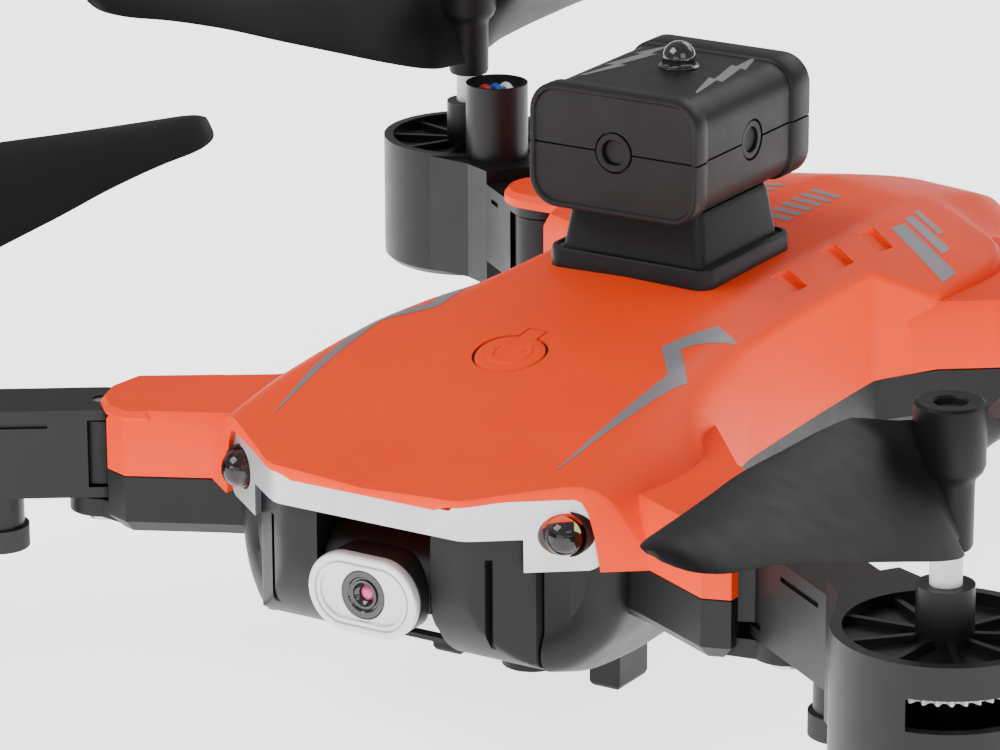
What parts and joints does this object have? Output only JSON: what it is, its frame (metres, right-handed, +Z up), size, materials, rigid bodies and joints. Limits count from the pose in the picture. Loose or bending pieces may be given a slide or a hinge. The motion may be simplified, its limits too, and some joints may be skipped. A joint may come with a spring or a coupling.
{
  "type": "folding camera quadcopter",
  "caption": "Folding camera quadcopter with geared rotor pods on hinged arms, tilting nose camera, sliding battery and a plug-in obstacle sensing head.",
  "frame": {"origin": "on the ground, under the middle of the bounding box with the arms open and the propellers as posed", "axes": "+Z up, -Y towards the nose and camera, +X towards the craft's right when seen from the front looking at the nose"},
  "size_m": [0.2253, 0.2588, 0.0767],
  "materials": {
    "orange_shell": "satin",
    "black_shell": "satin",
    "arm_black": "satin",
    "bezel_silver": "fine metallic grain",
    "camera_silver": "satin",
    "clear_lens": "clear",
    "circuit_board": "satin",
    "steel": "satin",
    "brass": "satin",
    "white_gear": "satin",
    "rubber_foot": "matt",
    "propeller_black": "satin",
    "gloss_black": "gloss",
    "tinted_glass": "coated",
    "cell_wrap": "gloss"
  },
  "bodies": {
    "hull": {"upper_shell": "orange_shell", "lower_shell": "black_shell", "nose_bezel": "bezel_silver", "nose_frame": "black_shell", "headlight_left": "clear_lens", "headlight_right": "clear_lens", "power_switch": "black_shell", "main_board": "circuit_board", "flow_sensor": "black_shell", "pivot_screws": "steel", "shell_screws": "steel"},
    "power_button": {"power_button": "orange_shell"},
    "camera": {"camera_body": "camera_silver", "camera_barrel": "black_shell", "camera_ring": "camera_silver", "camera_lens_barrel": "gloss_black", "camera_glass": "tinted_glass"},
    "sensing_head": {"head_base": "black_shell", "head_lower": "black_shell", "head_upper": "black_shell", "head_plug": "black_shell", "head_board": "circuit_board", "head_emitters": "gloss_black", "head_dome": "gloss_black"},
    "battery": {"battery_case": "black_shell", "battery_cell": "cell_wrap"},
    "battery_latch": {"battery_latch": "black_shell"},
    "arm_front_right": {"arm_upper_front_right": "arm_black", "arm_lower_front_right": "arm_black", "foot_front_right": "rubber_foot", "motor_front_right": "steel"},
    "prop_front_right": {"propeller_front_right": "propeller_black", "drive_gear_front_right": "white_gear", "prop_screw_front_right": "steel"},
    "pinion_front_right": {"pinion_front_right": "brass"},
    "arm_front_left": {"arm_upper_front_left": "arm_black", "arm_lower_front_left": "arm_black", "foot_front_left": "rubber_foot", "motor_front_left": "steel"},
    "prop_front_left": {"propeller_front_left": "propeller_black", "drive_gear_front_left": "white_gear", "prop_screw_front_left": "steel"},
    "pinion_front_left": {"pinion_front_left": "brass"},
    "arm_rear_right": {"arm_upper_rear_right": "arm_black", "arm_lower_rear_right": "arm_black", "foot_rear_right": "rubber_foot", "motor_rear_right": "steel"},
    "prop_rear_right": {"propeller_rear_right": "propeller_black", "drive_gear_rear_right": "white_gear", "prop_screw_rear_right": "steel"},
    "pinion_rear_right": {"pinion_rear_right": "brass"},
    "arm_rear_left": {"arm_upper_rear_left": "arm_black", "arm_lower_rear_left": "arm_black", "foot_rear_left": "rubber_foot", "motor_rear_left": "steel"},
    "prop_rear_left": {"propeller_rear_left": "propeller_black", "drive_gear_rear_left": "white_gear", "prop_screw_rear_left": "steel"},
    "pinion_rear_left": {"pinion_rear_left": "brass"}
  },
  "joints": [
    {"name": "power_button_press", "type": "slide", "parent": "hull", "child": "power_button", "axis": [0, 0, -1], "range_m": [0, 0.0008], "stiffness_N_per_m": 250},
    {"name": "camera_tilt", "type": "hinge", "parent": "hull", "child": "camera", "pos_m": [0, -0.0541, 0.023], "axis": [1, 0, 0], "range_deg": [0, 60]},
    {"name": "head_unplug", "type": "slide", "parent": "hull", "child": "sensing_head", "axis": [0, 0, 1], "range_m": [0, 0.03]},
    {"name": "battery_slide", "type": "slide", "parent": "hull", "child": "battery", "axis": [0, 1, 0], "range_m": [0, 0.075]},
    {"name": "battery_latch_press", "type": "slide", "parent": "battery", "child": "battery_latch", "axis": [0, -1, 0], "range_m": [0, 0.0008], "stiffness_N_per_m": 250},
    {"name": "front_right_fold", "type": "hinge", "parent": "hull", "child": "arm_front_right", "pos_m": [0.0512, -0.0475, 0.0328], "axis": [0, 0, 1], "range_deg": [0, 124.5]},
    {"name": "front_right_prop_spin", "type": "hinge", "parent": "arm_front_right", "child": "prop_front_right", "pos_m": [0.0832, -0.0695, 0.0528], "axis": [0, 0, -1], "continuous": true},
    {"name": "front_right_pinion_spin", "type": "hinge", "parent": "arm_front_right", "child": "pinion_front_right", "pos_m": [0.07331, -0.0627, 0.0331], "axis": [0, 0, -1], "continuous": true},
    {"name": "front_left_fold", "type": "hinge", "parent": "hull", "child": "arm_front_left", "pos_m": [-0.0512, -0.0475, 0.0328], "axis": [0, 0, -1], "range_deg": [0, 124.5]},
    {"name": "front_left_prop_spin", "type": "hinge", "parent": "arm_front_left", "child": "prop_front_left", "pos_m": [-0.0832, -0.0695, 0.0528], "axis": [0, 0, 1], "continuous": true},
    {"name": "front_left_pinion_spin", "type": "hinge", "parent": "arm_front_left", "child": "pinion_front_left", "pos_m": [-0.07331, -0.0627, 0.0331], "axis": [0, 0, 1], "continuous": true},
    {"name": "rear_right_fold", "type": "hinge", "parent": "hull", "child": "arm_rear_right", "pos_m": [0.0495, 0.0609, 0.0328], "axis": [0, 0, 1], "range_deg": [-90, 0]},
    {"name": "rear_right_prop_spin", "type": "hinge", "parent": "arm_rear_right", "child": "prop_rear_right", "pos_m": [0.0748, 0.0801, 0.0528], "axis": [0, 0, 1], "continuous": true},
    {"name": "rear_right_pinion_spin", "type": "hinge", "parent": "arm_rear_right", "child": "pinion_rear_right", "pos_m": [0.06524, 0.07285, 0.0331], "axis": [0, 0, 1], "continuous": true},
    {"name": "rear_left_fold", "type": "hinge", "parent": "hull", "child": "arm_rear_left", "pos_m": [-0.0495, 0.0609, 0.0328], "axis": [0, 0, -1], "range_deg": [-90, 0]},
    {"name": "rear_left_prop_spin", "type": "hinge", "parent": "arm_rear_left", "child": "prop_rear_left", "pos_m": [-0.0748, 0.0801, 0.0528], "axis": [0, 0, -1], "continuous": true},
    {"name": "rear_left_pinion_spin", "type": "hinge", "parent": "arm_rear_left", "child": "pinion_rear_left", "pos_m": [-0.06524, 0.07285, 0.0331], "axis": [0, 0, -1], "continuous": true}
  ],
  "couplings": [
    {"joint": "front_right_pinion_spin", "follows": "front_right_prop_spin", "ratio": -4.3333},
    {"joint": "front_left_pinion_spin", "follows": "front_left_prop_spin", "ratio": -4.3333},
    {"joint": "rear_right_pinion_spin", "follows": "rear_right_prop_spin", "ratio": -4.3333},
    {"joint": "rear_left_pinion_spin", "follows": "rear_left_prop_spin", "ratio": -4.3333}
  ]
}
